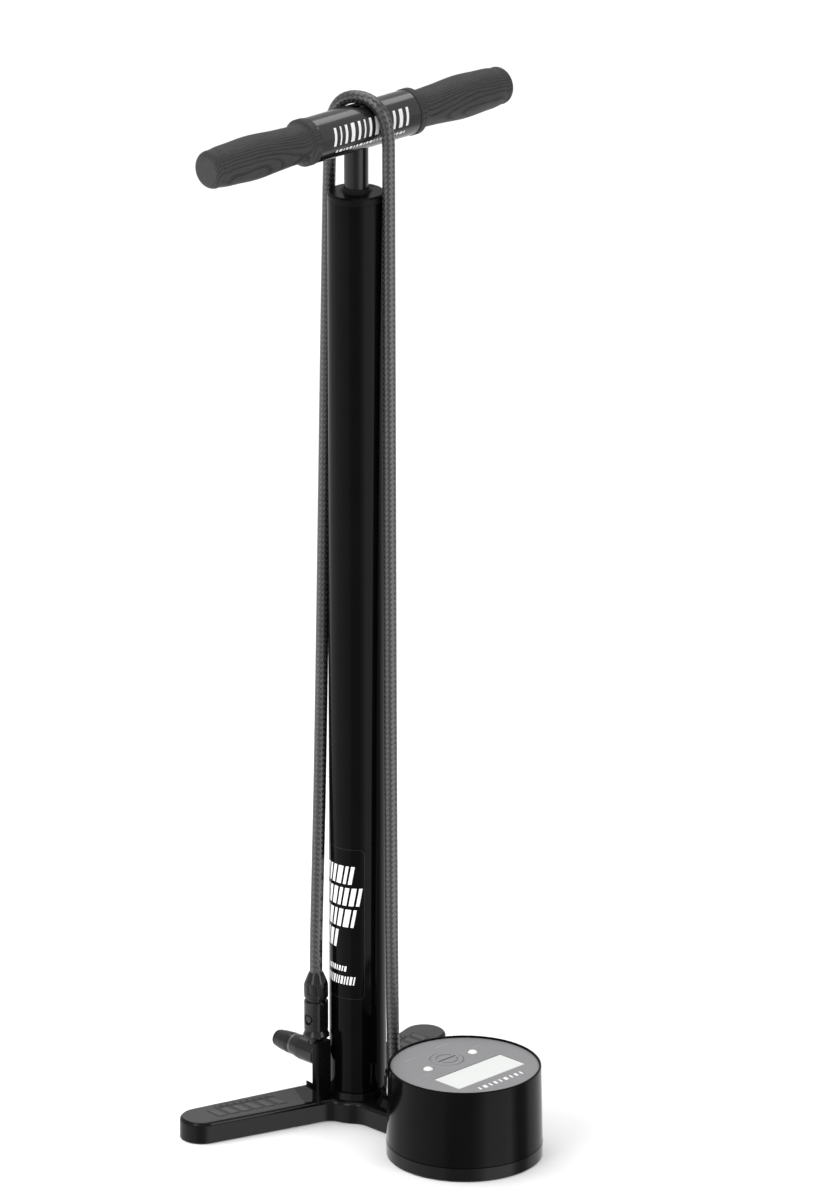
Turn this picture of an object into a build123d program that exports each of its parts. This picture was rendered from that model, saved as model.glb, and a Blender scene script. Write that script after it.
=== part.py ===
from build123d import *
import os
from math import asin, atan2, cos, degrees, hypot, pi, radians, sin, tan

# A floor pump for bicycle tyres, in millimetres.
# The origin is on the floor under the barrel's axis.  +Z is up, the gauge stands at -Y,
# and the handle and the two rear legs reach to -X and +X.

# ---- Base ----
BASE_TOP = 14.5            # top face of the legs
BASE_BOTTOM = 0.6          # underside of the casting, which stands on rubber pads
LEG_ROOT = (0.0, 9.5)
LEG_TIP_X = 99.0
LEG_TIP_Y = 39.7
LEG_ROOT_R = 16.0          # half the leg's width at the root
LEG_TIP_R = 14.0           # and at its round tip
ARM_HALF_WIDTH = 15.0
HUB_R = 23.0
BOSS_TOP = 19.0            # raised collar round the barrel and under the hose fitting
SOCKET_FLOOR = 6.0         # where the barrel's seal lies
GALLERY_Z = 5.3            # drilled air passage
PAD_R = 9.0

# ---- Barrel, cap and rod ----
BARREL_R = 18.0
BORE_R = 15.8
BARREL_BOTTOM = 7.0
BARREL_TOP = 606.0
CAP_TOP = 611.0
SPIGOT_BOTTOM = 566.0
ROD_R = 7.5
ROD_WALL = 2.0
FIT = 0.05                 # radial play of a running or assembled fit

# ---- Piston ----
PISTON_BOTTOM = 16.5
PISTON_TOP = 30.0
BUMPER_TOP = 44.0
STROKE = 520.0

# ---- Handle ----
HANDLE_Z = 652.0
HANDLE_R = 14.3
HANDLE_BORE_R = 11.7
TUBE_HALF = 42.6
GRIP_END = 127.7
STUD_R = 4.0

# ---- Gauge ----
GAUGE_Y = -95.2
GAUGE_R = 48.0
GAUGE_TOP = 59.6
POD_R = 49.25
POD_TOP = 9.0
HOUSING_BOTTOM = 9.5
HOUSING_FOOT_R = 49.1
HOUSING_WALL = 2.6
FACE_R = 46.7
FACE_TOP = 58.4
FACE_THICK = 2.0
BOARD_Z = 49.3
BOARD_THICK = 1.6
LCD_W = 58.6
LCD_D = 22.0
LCD_Y = GAUGE_Y - 13.1
BUTTON_X = 19.8
BUTTON_Y = GAUGE_Y + 12.6
BUTTON_R = 3.1
POWER_Y = GAUGE_Y + 15.8
POWER_R = 10.6
BUTTON_FOOT = 52.0
SENSOR_Y = -62.0

# ---- Hose and chuck ----
HOSE_R = 4.0
PORT = (1.2, -31.0)        # hose fitting on the gauge arm
HOSE_START = 37.0
CHUCK = (-23.5, 13.6)      # upright axis of the docked chuck
HEAD_Z = 43.0              # level axis of the chuck's head, which points to +Y
HEAD_R = 8.0
HEAD_FRONT = 9.8
HEAD_BACK = 31.6
NECK_TOP = 54.5
BLOCK_BOTTOM = 59.0
BLOCK_TOP = 78.5
NUT_BOTTOM = 81.0
NUT_TOP = 97.5
CHUCK_R = 7.65
SADDLE_R = 18.8            # bend of the hose round the handle's tube

GROUND = Align.MIN


def rod_z(radius, low, high, at=(0.0, 0.0)):
    """A round bar standing along Z between two heights."""
    bar = Cylinder(radius, high - low, align=(Align.CENTER, Align.CENTER, GROUND))
    return Pos(at[0], at[1], low) * bar


def ring_z(outer, inner, low, high, at=(0.0, 0.0)):
    """A round ring or tube along Z."""
    return rod_z(outer, low, high, at) - rod_z(inner, low - 1, high + 1, at)


def cone_z(low_r, high_r, low, high, at=(0.0, 0.0)):
    """A cone frustum along Z."""
    cone = Cone(low_r, high_r, high - low, align=(Align.CENTER, Align.CENTER, GROUND))
    return Pos(at[0], at[1], low) * cone


def rod_y(radius, start, end, x, z):
    """A round bar lying along Y."""
    bar = Cylinder(radius, end - start, align=(Align.CENTER, Align.CENTER, GROUND))
    return Pos(x, start, z) * Rot(-90, 0, 0) * bar


def rod_x(radius, start, end, y, z):
    """A round bar lying along X."""
    bar = Cylinder(radius, end - start, align=(Align.CENTER, Align.CENTER, GROUND))
    return Pos(start, y, z) * Rot(0, 90, 0) * bar


def block(x_range, y_range, z_range):
    """A box given by its low and high value on each axis."""
    size = [high - low for low, high in (x_range, y_range, z_range)]
    centre = [(high + low) / 2 for low, high in (x_range, y_range, z_range)]
    return Pos(*centre) * Box(*size)


def polar(radius, angle, centre=(0.0, 0.0)):
    """A point at a radius and an angle in degrees round a centre."""
    return (centre[0] + radius * cos(radians(angle)), centre[1] + radius * sin(radians(angle)))


def lathe(points):
    """Turn a closed (radius, height) outline about Z."""
    face = Plane.XZ * make_face(Polyline(*points, close=True))
    return revolve(face, Axis.Z)


def tapered_bar(start, start_r, end, end_r):
    """A flat bar with round ends of different radii, as a face."""
    dx, dy = end[0] - start[0], end[1] - start[1]
    lean = asin((start_r - end_r) / hypot(dx, dy))
    heading = atan2(dy, dx)
    corners = []
    for side in (1, -1):
        turn = heading + side * (pi / 2 - lean)
        near = (start[0] + start_r * cos(turn), start[1] + start_r * sin(turn))
        far = (end[0] + end_r * cos(turn), end[1] + end_r * sin(turn))
        corners += [near, far] if side == 1 else [far, near]
    bar = make_face(Polyline(*corners, close=True))
    return bar + Pos(*start) * Circle(start_r) + Pos(*end) * Circle(end_r)


def coil(mean_r, wire_r, low, high, turns):
    """A wire coil along Z."""
    line = Helix(pitch=(high - low) / turns, height=high - low, radius=mean_r)
    start = Plane(origin=line @ 0, z_dir=line % 0)
    return Pos(0, 0, low) * sweep(start * Circle(wire_r), path=line)


def leg_point(side, distance):
    """A point on a leg's centre line, measured from its root."""
    run, rise = LEG_TIP_X - LEG_ROOT[0], LEG_TIP_Y - LEG_ROOT[1]
    share = distance / hypot(run, rise)
    return (side * (LEG_ROOT[0] + run * share), LEG_ROOT[1] + rise * share)


def leg_tip(side):
    return (side * LEG_TIP_X, LEG_TIP_Y)


# ---- Base casting and what is screwed to it ----

DOCK_X = (-32.8, -20.2)
DOCK_Y = (3.0, 8.6)
DOCK_BOTTOM = 12.5
DOCK_TOP = 53.6
BAY_HALF_X = 25.0          # battery bay
BAY_HALF_Y = 13.0
DOOR_HALF_X = 31.0
DOOR_HALF_Y = 15.0
DOOR_SCREW_X = 28.2
SCREW_ANGLES = (45, 135, 225, 315)
SCREW_CIRCLE = 40.5
FRONT_PAD_ANGLES = (180, 270, 0)
FRONT_PAD_CIRCLE = 40.0
VALVE_R = 8.0
VALVE_TOP = 15.0
VALVE_FLOOR = 3.5


def base_outline():
    """The three arms in plan, with round inner corners."""
    plan = tapered_bar(LEG_ROOT, LEG_ROOT_R, leg_tip(-1), LEG_TIP_R)
    plan += tapered_bar(LEG_ROOT, LEG_ROOT_R, leg_tip(1), LEG_TIP_R)
    plan += Circle(HUB_R)
    plan += Pos(0, GAUGE_Y / 2) * Rectangle(2 * ARM_HALF_WIDTH, -GAUGE_Y)
    plan += Pos(0, GAUGE_Y) * Circle(POD_R)
    inner = [v for v in plan.vertices() if abs(hypot(v.X, v.Y) - HUB_R) < 0.3 and v.Y < 10]
    plan = fillet(inner, 12)
    waist = [v for v in plan.vertices() if abs(v.X) < 17 and -52 < v.Y < -44]
    plan = fillet(waist, 8)
    rear = [v for v in plan.vertices() if abs(v.X) < 0.5 and v.Y > 20]
    return fillet(rear, 30)


def base_casting():
    pod_zone = rod_z(POD_R + 0.15, POD_TOP, 40, (0, GAUGE_Y))
    body = extrude(base_outline(), BASE_TOP - BASE_BOTTOM)
    body = fillet(body.edges().group_by(Axis.Z)[-1], 3.0)
    body = Pos(0, 0, BASE_BOTTOM) * body
    body += cone_z(19.9, 19.3, BASE_TOP - 0.5, BOSS_TOP)
    body += cone_z(11.4, 8.6, BASE_TOP - 0.5, BOSS_TOP, PORT)
    body -= pod_zone
    return cut_base_holes(body)


def cut_base_holes(body):
    # barrel socket, valve seat and the drilled air gallery
    body -= rod_z(BARREL_R + FIT, SOCKET_FLOOR, 40)
    body -= rod_z(VALVE_R + FIT, VALVE_FLOOR, 40)
    body -= rod_y(1.5, SENSOR_Y - 4, -VALVE_R + 1, 0, GALLERY_Z)
    body -= rod_y(2.5, GAUGE_Y, SENSOR_Y - 3, 0, GALLERY_Z)
    body -= rod_z(2.0, GALLERY_Z, 30, (0, SENSOR_Y))
    body -= rod_z(4.0 + FIT, 9.0, 30, PORT)
    body -= rod_z(1.5, GALLERY_Z, 12, PORT)
    # seat for the dock
    body -= block(DOCK_X, DOCK_Y, (DOCK_BOTTOM, 60))
    # battery bay, its door's recess and the screws
    bay_y = (GAUGE_Y - BAY_HALF_Y, GAUGE_Y + BAY_HALF_Y)
    body -= block((-BAY_HALF_X, BAY_HALF_X), bay_y, (0, 30))
    door_y = (GAUGE_Y - DOOR_HALF_Y - 0.2, GAUGE_Y + DOOR_HALF_Y + 0.2)
    body -= block((-DOOR_HALF_X - 0.2, DOOR_HALF_X + 0.2), door_y, (0, 2.7))
    for side in (-1, 1):
        body -= rod_z(1.5 + FIT, 0, 9, (side * DOOR_SCREW_X, GAUGE_Y))
    for angle in SCREW_ANGLES:
        spot = polar(SCREW_CIRCLE, angle, (0, GAUGE_Y))
        body -= rod_z(3.6, 0, 4.0, spot)
        body -= rod_z(2.0, 0, 30, spot)
    # recesses for the rubber pads, and weight-saving pockets in the legs
    for angle in FRONT_PAD_ANGLES:
        body -= rod_z(6.2, 0, 2.0, polar(FRONT_PAD_CIRCLE, angle, (0, GAUGE_Y)))
    body -= rod_z(PAD_R + 3.2, 0, 2.0)
    for side in (-1, 1):
        body -= rod_z(PAD_R + 0.2, 0, 2.0, leg_tip(side))
        pocket = tapered_bar(leg_point(side, 42), 10.5, leg_point(side, 76), 10.0)
        hollow = extrude(pocket, 9.0)
        rib_at = leg_point(side, 59)
        hollow -= Pos(rib_at[0], rib_at[1], 4) * Box(3, 60, 30)
        body -= hollow
    return body


def leg_foot_pads():
    return [rod_z(PAD_R, 0, 2.0, leg_tip(side)) for side in (-1, 1)]


def front_foot_pads():
    spots = [polar(FRONT_PAD_CIRCLE, angle, (0, GAUGE_Y)) for angle in FRONT_PAD_ANGLES]
    return [rod_z(6.0, 0, 2.0, spot) for spot in spots]


def hub_foot_pad():
    return rod_z(PAD_R + 3.0, 0, 2.0)


def gallery_plug():
    """Grub plug that closes the drilled end of the air gallery."""
    return rod_y(2.45, SENSOR_Y - 9, SENSOR_Y - 3.1, 0, GALLERY_Z)


def chuck_dock():
    """Upright post with a peg that the chuck's head is parked on."""
    post = block(DOCK_X, DOCK_Y, (DOCK_BOTTOM, DOCK_TOP))
    post = fillet(post.edges().filter_by(Axis.Z), 1.4)
    post = fillet(post.edges().group_by(Axis.Z)[-1], 0.8)
    post += rod_y(3.7, DOCK_Y[1] - 1, DOCK_Y[1] + 5.0, CHUCK[0], HEAD_Z)
    inner, outer = DOCK_X[0] + 0.5, DOCK_X[0] - 4.6
    tab = Polyline((inner, 21.0), (inner, 25.3), (outer, 29.2), (outer, 25.0), close=True)
    tab = extrude(Plane.XZ * make_face(tab), 3.6)
    return post + Pos(0, DOCK_Y[1], 0) * tab


# ---- Check valve under the barrel ----

def check_valve_body():
    body = rod_z(VALVE_R, VALVE_FLOOR, VALVE_TOP)
    body -= rod_z(4.0, VALVE_FLOOR - 1, 11.5)
    body -= rod_z(1.6, 0, 40)
    body -= rod_y(1.2, -VALVE_R - 1, 0, 0, GALLERY_Z)
    return chamfer(body.edges().group_by(Axis.Z)[-1].sort_by(SortBy.LENGTH)[-1:], 1.0)


def check_valve_poppet():
    disc = rod_z(3.2, 9.9, 11.45)
    return disc + rod_z(1.2, 6.6, 10.0)


def check_valve_spring():
    return coil(2.3, 0.3, 3.95, 9.5, 5)


# ---- Barrel ----

def barrel_tube():
    tube = ring_z(BARREL_R, BORE_R, BARREL_BOTTOM, BARREL_TOP)
    inner = [e for e in tube.edges().filter_by(GeomType.CIRCLE) if e.radius < BARREL_R - 1]
    return chamfer(inner, 0.4)


def barrel_base_seal():
    return ring_z(BARREL_R - 0.1, 15.0, SOCKET_FLOOR, BARREL_BOTTOM)


def barrel_cap():
    head = rod_z(BARREL_R, BARREL_TOP, CAP_TOP)
    head = chamfer(head.edges().group_by(Axis.Z)[-1], 1.2)
    head = fillet(head.edges().group_by(Axis.Z)[0], 0.35)
    cap = head + rod_z(BORE_R - FIT, SPIGOT_BOTTOM, BARREL_TOP + 1)
    cap -= rod_z(9.5, SPIGOT_BOTTOM - 1, BARREL_TOP)
    cap -= rod_z(ROD_R + 0.5, SPIGOT_BOTTOM - 1, CAP_TOP + 1)
    cap -= rod_z(10.0, BARREL_TOP + 1, CAP_TOP + 1)
    vent = SlotOverall(4.0, 1.2, rotation=90)
    return cap - Pos(13.8, 0.8, CAP_TOP - 2) * extrude(vent, 3)


def rod_guide_bushing():
    return ring_z(9.5 - FIT, ROD_R + FIT, SPIGOT_BOTTOM + 0.5, BARREL_TOP)


def rod_wiper_seal():
    lip_r = ROD_R + FIT
    outline = [(lip_r, BARREL_TOP + 1), (9.95, BARREL_TOP + 1), (9.95, CAP_TOP - 0.1), (8.5, CAP_TOP),
               (8.3, CAP_TOP + 1.9), (7.9, CAP_TOP + 2.6), (lip_r, CAP_TOP + 2.6)]
    return lathe(outline)


# ---- Piston ----

SEAL_Z = (19.0, 22.0)
WEAR_RING_Z = (25.0, 28.0)


def piston():
    body = rod_z(15.3, PISTON_BOTTOM, PISTON_TOP)
    body -= ring_z(16, 13.2, *SEAL_Z)
    body -= ring_z(16, 14.2, *WEAR_RING_Z)
    body -= rod_z(8.0, PISTON_BOTTOM - 1, 22.0)
    return body - rod_z(STUD_R + FIT, 0, 40)


def piston_seal():
    return ring_z(BORE_R - FIT, 13.25, SEAL_Z[0] + 0.05, SEAL_Z[1] - 0.05)


def piston_wear_ring():
    return ring_z(BORE_R - FIT, 14.25, WEAR_RING_Z[0] + 0.05, WEAR_RING_Z[1] - 0.05)


def piston_washer():
    return ring_z(7.0, STUD_R + FIT, 20.6, 21.95)


def piston_bolt():
    head = extrude(RegularPolygon(6.0, 6), 3.0)
    return Pos(0, 0, 17.55) * head + rod_z(STUD_R, 20, 48)


# ---- Rod ----

def rod_lower_plug():
    plug = rod_z(ROD_R, PISTON_TOP + 0.05, 32.0) + rod_z(ROD_R - ROD_WALL - 0.02, 32.0, 52.0)
    return plug - rod_z(STUD_R + 0.02, 20, 49)


def piston_rod():
    tube = ring_z(ROD_R, ROD_R - ROD_WALL, 32.0, HANDLE_Z + 1.9)
    return tube


def top_out_bumper():
    ring = ring_z(13.5, ROD_R + 0.05, PISTON_TOP + 0.4, BUMPER_TOP)
    outer = [e for e in ring.edges().filter_by(GeomType.CIRCLE) if e.radius > 13]
    return fillet(outer, 1.5)


def rod_upper_plug():
    return ring_z(ROD_R - ROD_WALL - 0.02, 3.02, 628.0, HANDLE_Z + 1.9)


# ---- Handle ----

def handle_tube():
    tube = rod_x(HANDLE_R, -TUBE_HALF, TUBE_HALF, 0, HANDLE_Z)
    tube = chamfer(tube.edges().filter_by(GeomType.CIRCLE), 0.6)
    tube -= rod_x(HANDLE_BORE_R, -TUBE_HALF - 1, TUBE_HALF + 1, 0, HANDLE_Z)
    tube -= rod_z(ROD_R + 0.1, HANDLE_Z - 30, HANDLE_Z)
    return tube - rod_z(5.3, HANDLE_Z, HANDLE_Z + 30)


def handle_hub():
    """Solid cross piece in the tube, which takes the rod, the bolt and both studs."""
    hub = rod_x(HANDLE_BORE_R - FIT, -22, 22, 0, HANDLE_Z)
    hub -= rod_z(ROD_R + 0.02, HANDLE_Z - 30, HANDLE_Z + 2.0)
    hub -= rod_z(3.1, HANDLE_Z - 30, HANDLE_Z + 30)
    hub -= rod_z(5.3, HANDLE_Z + 8.0, HANDLE_Z + 30)
    for side in (-1, 1):
        start, end = sorted((side * 13.5, side * 23))
        hub -= rod_x(STUD_R + 0.02, start, end, 0, HANDLE_Z)
    return hub


def grip(side):
    """A turned grip: spigot in the tube, collar, waist, bulge and a rounded end."""
    spigot_r = HANDLE_BORE_R - FIT
    body = Spline((12.3, 51.5), (12.0, 58), (12.7, 72), (13.75, 91), (12.95, 108), (11.6, 121.5),
                  tangents=((-0.25, 1), (-0.22, 1)))
    end = ThreePointArc((11.6, 121.5), (11.0, 126.0), (8.6, GRIP_END))
    shoulder = Polyline((0, GRIP_END), (0, 23), (spigot_r, 23), (spigot_r, TUBE_HALF),
                        (14.2, TUBE_HALF), (14.8, TUBE_HALF + 0.7), (14.8, TUBE_HALF + 4.6),
                        (14.2, TUBE_HALF + 5.4))
    neck = ThreePointArc((14.2, TUBE_HALF + 5.4), (12.9, TUBE_HALF + 6.4), (12.3, 51.5))
    face_end = Line((8.6, GRIP_END), (0, GRIP_END))
    outline = make_face(Wire([*shoulder.edges(), neck.edge(), body.edge(), end.edge(), face_end.edge()]))
    turned = revolve(Plane.XZ * outline, Axis.Z)
    turned = Pos(0, 0, HANDLE_Z) * Rot(0, side * 90, 0) * turned
    start, stop = sorted((side * 20, side * 105))
    return turned - rod_x(STUD_R + 0.02, start, stop, 0, HANDLE_Z)


def grip_studs():
    return [rod_x(STUD_R, *sorted((side * 13.6, side * 104)), 0, HANDLE_Z) for side in (-1, 1)]


def handle_bolt():
    bolt = rod_z(5.0, HANDLE_Z + 8.2, HANDLE_Z + 13.2) + rod_z(3.0, 632, HANDLE_Z + 9)
    return bolt - Pos(0, 0, HANDLE_Z + 10.7) * extrude(RegularPolygon(2.9, 6), 4)


# ---- Hose fitting ----

def hose_fitting():
    hexagon = Pos(PORT[0], PORT[1], BOSS_TOP) * extrude(RegularPolygon(7.3, 6, rotation=12), 7.6)
    hexagon &= cone_z(7.6, 6.4, BOSS_TOP - 1.0, BOSS_TOP + 9.0, PORT)
    fitting = hexagon + rod_z(6.0, BOSS_TOP + 7, 33.4, PORT)
    fitting += rod_z(4.9, 33, 34.8, PORT)
    fitting += rod_z(4.0, 9.2, BOSS_TOP + 1, PORT)
    return fitting - rod_z(1.6, 5, 40, PORT)


def hose_ferrule():
    collar = ring_z(5.5, 1.6, 34.8, HOSE_START, PORT)
    top = collar.edges().group_by(Axis.Z)[-1].sort_by(SortBy.LENGTH)[-1:]
    return fillet(top, 0.8)


# ---- Gauge ----

POST_ANGLES = (20, 160, 270)
POST_CIRCLE = 39.5


def gauge_housing():
    centre = (0, GAUGE_Y)
    shell = cone_z(HOUSING_FOOT_R, GAUGE_R, HOUSING_BOTTOM, GAUGE_TOP, centre)
    shell = chamfer(shell.edges().group_by(Axis.Z)[-1], 0.5)
    inner_r = GAUGE_R - HOUSING_WALL
    shell -= rod_z(inner_r, HOUSING_BOTTOM + 2.5, GAUGE_TOP + 1, centre)
    shell -= rod_z(FACE_R + 0.1, FACE_TOP - FACE_THICK, GAUGE_TOP + 1, centre)
    for angle in SCREW_ANGLES:
        shell += rod_z(4.2, HOUSING_BOTTOM + 2, 26, polar(SCREW_CIRCLE, angle, centre))
    for angle in POST_ANGLES:
        shell += rod_z(3.0, HOUSING_BOTTOM + 2, BOARD_Z, polar(POST_CIRCLE, angle, centre))
    for angle in SCREW_ANGLES:
        shell -= rod_z(1.75, HOUSING_BOTTOM - 1, 24, polar(SCREW_CIRCLE, angle, centre))
    bay_y = (GAUGE_Y - BAY_HALF_Y, GAUGE_Y + BAY_HALF_Y)
    shell -= block((-BAY_HALF_X, BAY_HALF_X), bay_y, (0, 20))
    return shell - rod_z(2.0, 0, 20, (0, SENSOR_Y))


def gauge_gasket():
    flat = ring_z(GAUGE_R - 0.6, 36.6, POD_TOP, HOUSING_BOTTOM, (0, GAUGE_Y))
    for angle in SCREW_ANGLES:
        flat -= rod_z(2.0, 0, 20, polar(SCREW_CIRCLE, angle, (0, GAUGE_Y)))
    port = ring_z(3.2, 2.0, POD_TOP, HOUSING_BOTTOM, (0, SENSOR_Y))
    return [flat, port]


def gauge_screws():
    screws = []
    for angle in SCREW_ANGLES:
        spot = polar(SCREW_CIRCLE, angle, (0, GAUGE_Y))
        screw = rod_z(3.3, 1.2, 3.9, spot) + rod_z(1.7, 3.5, 22, spot)
        socket = Pos(spot[0], spot[1], 1.2) * extrude(RegularPolygon(1.5, 6), 1.8)
        screws.append(screw - socket)
    return screws


def gauge_face():
    """Flat face of the gauge with its window, button holes and a raised ring."""
    centre = (0, GAUGE_Y)
    plate = rod_z(FACE_R, FACE_TOP - FACE_THICK, FACE_TOP, centre)
    plate = chamfer(plate.edges().group_by(Axis.Z)[-1], 0.25)
    plate -= Pos(0, LCD_Y, FACE_TOP - 3) * extrude(Rectangle(LCD_W + 0.4, LCD_D + 0.4), 5)
    for side in (-1, 1):
        plate -= rod_z(BUTTON_R + 0.3, 40, 70, (side * BUTTON_X, BUTTON_Y))
    return plate - rod_z(POWER_R + 0.3, 40, 70, (0, POWER_Y))


def lcd_glass():
    glass = extrude(Rectangle(LCD_W, LCD_D), 4.1)
    return Pos(0, LCD_Y, BOARD_Z + BOARD_THICK + 3.1) * glass


def lcd_module():
    return Pos(0, LCD_Y, BOARD_Z + BOARD_THICK) * extrude(RectangleRounded(66, 28, 1.5), 3.1)


def circuit_board():
    return rod_z(42.0, BOARD_Z, BOARD_Z + BOARD_THICK, (0, GAUGE_Y))


def button_spots():
    return [(-BUTTON_X, BUTTON_Y), (BUTTON_X, BUTTON_Y), (0, POWER_Y)]


def tact_switches():
    low = BOARD_Z + BOARD_THICK
    return [Pos(x, y, low) * extrude(Rectangle(5, 5), 0.5) for x, y in button_spots()]


def dome_button(side):
    """A small domed button with a flange that keeps it under the face."""
    spot = (side * BUTTON_X, BUTTON_Y)
    dome_rise = 1.3
    dome_r = (BUTTON_R ** 2 + dome_rise ** 2) / (2 * dome_rise)
    ball = Pos(spot[0], spot[1], FACE_TOP + dome_rise - dome_r) * Sphere(dome_r)
    stem = rod_z(BUTTON_R, BUTTON_FOOT, FACE_TOP + 2, spot) & (ball + rod_z(9, 40, FACE_TOP - 0.5, spot))
    return stem + rod_z(4.4, BUTTON_FOOT, BUTTON_FOOT + 1.2, spot)


def power_button():
    """A round button with a plain sign pressed into it: a ring broken at both ends."""
    spot = (0, POWER_Y)
    button = rod_z(POWER_R, BUTTON_FOOT, FACE_TOP + 0.25, spot)
    button = fillet(button.edges().group_by(Axis.Z)[-1], 0.5)
    button += rod_z(POWER_R + 1.0, BUTTON_FOOT, BUTTON_FOOT + 1.2, spot)
    groove = ring_z(7.2, 6.3, FACE_TOP - 0.2, FACE_TOP + 2, spot)
    groove -= block((-9, 9), (POWER_Y - 2.6, POWER_Y + 2.6), (FACE_TOP - 1, FACE_TOP + 3))
    return button - groove


def pressure_sensor():
    body = rod_z(6.0, HOUSING_BOTTOM + 2.5, 22, (0, SENSOR_Y)) + rod_z(3.5, 22, 30, (0, SENSOR_Y))
    return body - rod_z(1.5, 10, 20, (0, SENSOR_Y))


def battery_holder():
    outer = block((-24.8, 24.8), (GAUGE_Y - 12.8, GAUGE_Y + 12.8), (3.4, 17.2))
    return outer - block((-23.4, 23.4), (GAUGE_Y - 11.4, GAUGE_Y + 11.4), (3.0, 16.0))


def batteries():
    cells = []
    for side in (-1, 1):
        y = GAUGE_Y + side * 5.5
        cell = rod_x(5.25, -22, 21.6, y, 9.6) + rod_x(2.0, 21, 22.8, y, 9.6)
        cells.append(cell)
    return cells


def battery_door():
    door = block((-DOOR_HALF_X, DOOR_HALF_X), (GAUGE_Y - DOOR_HALF_Y, GAUGE_Y + DOOR_HALF_Y), (1.0, 2.7))
    door = fillet(door.edges().filter_by(Axis.Z), 2.0)
    for step in range(5):
        y = GAUGE_Y - 4 + 2 * step
        door -= block((-8, 8), (y - 0.4, y + 0.4), (0.9, 1.4))
    for side in (-1, 1):
        door -= rod_z(1.6, 0, 5, (side * DOOR_SCREW_X, GAUGE_Y))
    return door


def battery_door_screws():
    screws = []
    for side in (-1, 1):
        spot = (side * DOOR_SCREW_X, GAUGE_Y)
        screws.append(rod_z(1.5, 1.0, 8.5, spot) - Pos(spot[0], spot[1], 1.0) * Box(2.2, 0.5, 0.8))
    return screws


# ---- Chuck ----

BARREL_Y = (33.2, 41.1)    # the head's inner barrel, which the lock sleeve slides on
BARREL_HEAD_R = 5.6
SEAL_BORE_R = 4.0
SEAL_START = 30.1
TAPER_START = 25.0
SLEEVE_END = 46.9


def chuck_head():
    x = CHUCK[0]
    head = rod_y(HEAD_R, HEAD_FRONT, TAPER_START, x, HEAD_Z)
    head = fillet(head.edges().filter_by(GeomType.CIRCLE).group_by(Axis.Y)[0], 1.2)
    taper = Pos(x, TAPER_START, HEAD_Z) * Rot(-90, 0, 0) * Cone(HEAD_R, 6.9, HEAD_BACK - TAPER_START,
                                                                 align=(Align.CENTER, Align.CENTER, GROUND))
    head += taper
    head += rod_y(BARREL_HEAD_R, HEAD_BACK - 1, BARREL_Y[1], x, HEAD_Z)
    head += rod_z(4.7, HEAD_Z, NECK_TOP, CHUCK)
    head -= rod_y(4.0, HEAD_FRONT - 1, 15.0, x, HEAD_Z)
    head -= rod_y(4.9, SEAL_START - 2.5, BARREL_Y[1] + 1, x, HEAD_Z)
    head -= rod_y(1.5, CHUCK[1], SEAL_START, x, HEAD_Z)
    return head - rod_z(1.5, HEAD_Z, NECK_TOP + 1, CHUCK)


def chuck_seam_ring():
    ring = rod_y(6.9, HEAD_BACK, BARREL_Y[0], CHUCK[0], HEAD_Z)
    return ring - rod_y(BARREL_HEAD_R + FIT, HEAD_BACK - 1, 50, CHUCK[0], HEAD_Z)


def chuck_seal():
    seal = rod_y(4.85, SEAL_START, BARREL_Y[1], CHUCK[0], HEAD_Z)
    return seal - rod_y(SEAL_BORE_R, 30, 60, CHUCK[0], HEAD_Z)


def chuck_pin():
    """Perforated disc with the pin that opens the tyre's valve."""
    disc_y = SEAL_START - 2.4
    pin = rod_y(4.85, disc_y, disc_y + 1.1, CHUCK[0], HEAD_Z)
    pin += rod_y(1.0, disc_y + 1, disc_y + 2.3, CHUCK[0], HEAD_Z)
    for angle in range(0, 360, 90):
        x, z = polar(3.0, angle + 45, (CHUCK[0], HEAD_Z))
        pin -= rod_y(0.9, disc_y - 1, disc_y + 2, x, z)
    return pin


def lathe_y(points, x, z):
    """Revolve an outline of (radius, y) points round a level axis along Y."""
    outline = make_face(Polyline(*[(radius, y) for radius, y in points], close=True))
    return Pos(x, 0, z) * revolve(outline, Axis.Y)


def chuck_lock_sleeve():
    """Tapered sleeve that slides on the head's inner barrel."""
    low, high = BARREL_Y[0] + 0.1, SLEEVE_END
    bore = BARREL_HEAD_R + FIT
    outline = [(bore, low), (6.5, low), (6.95, low + 0.5), (6.95, low + 1.6), (6.6, low + 2.0), (6.6, low + 2.6),
               (6.85, low + 3.0), (6.5, low + 8.0), (5.75, high - 0.6), (5.3, high), (4.3, high),
               (4.3, BARREL_Y[1] + 0.6), (bore, BARREL_Y[1] + 0.6)]
    return lathe_y(outline, CHUCK[0], HEAD_Z)


def chuck_rim():
    rim = rod_y(5.25, SLEEVE_END, SLEEVE_END + 1.5, CHUCK[0], HEAD_Z)
    rim = fillet(rim.edges().filter_by(GeomType.CIRCLE).group_by(Axis.Y)[-1], 0.7)
    return rim - rod_y(4.3, 40, 60, CHUCK[0], HEAD_Z)


def swivel_ring():
    ring = ring_z(8.3, 4.75, NECK_TOP + 0.1, 55.8, CHUCK) + cone_z(8.3, 7.0, 55.8, BLOCK_BOTTOM, CHUCK)
    return ring - rod_z(4.75, 50, 60, CHUCK)


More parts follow.
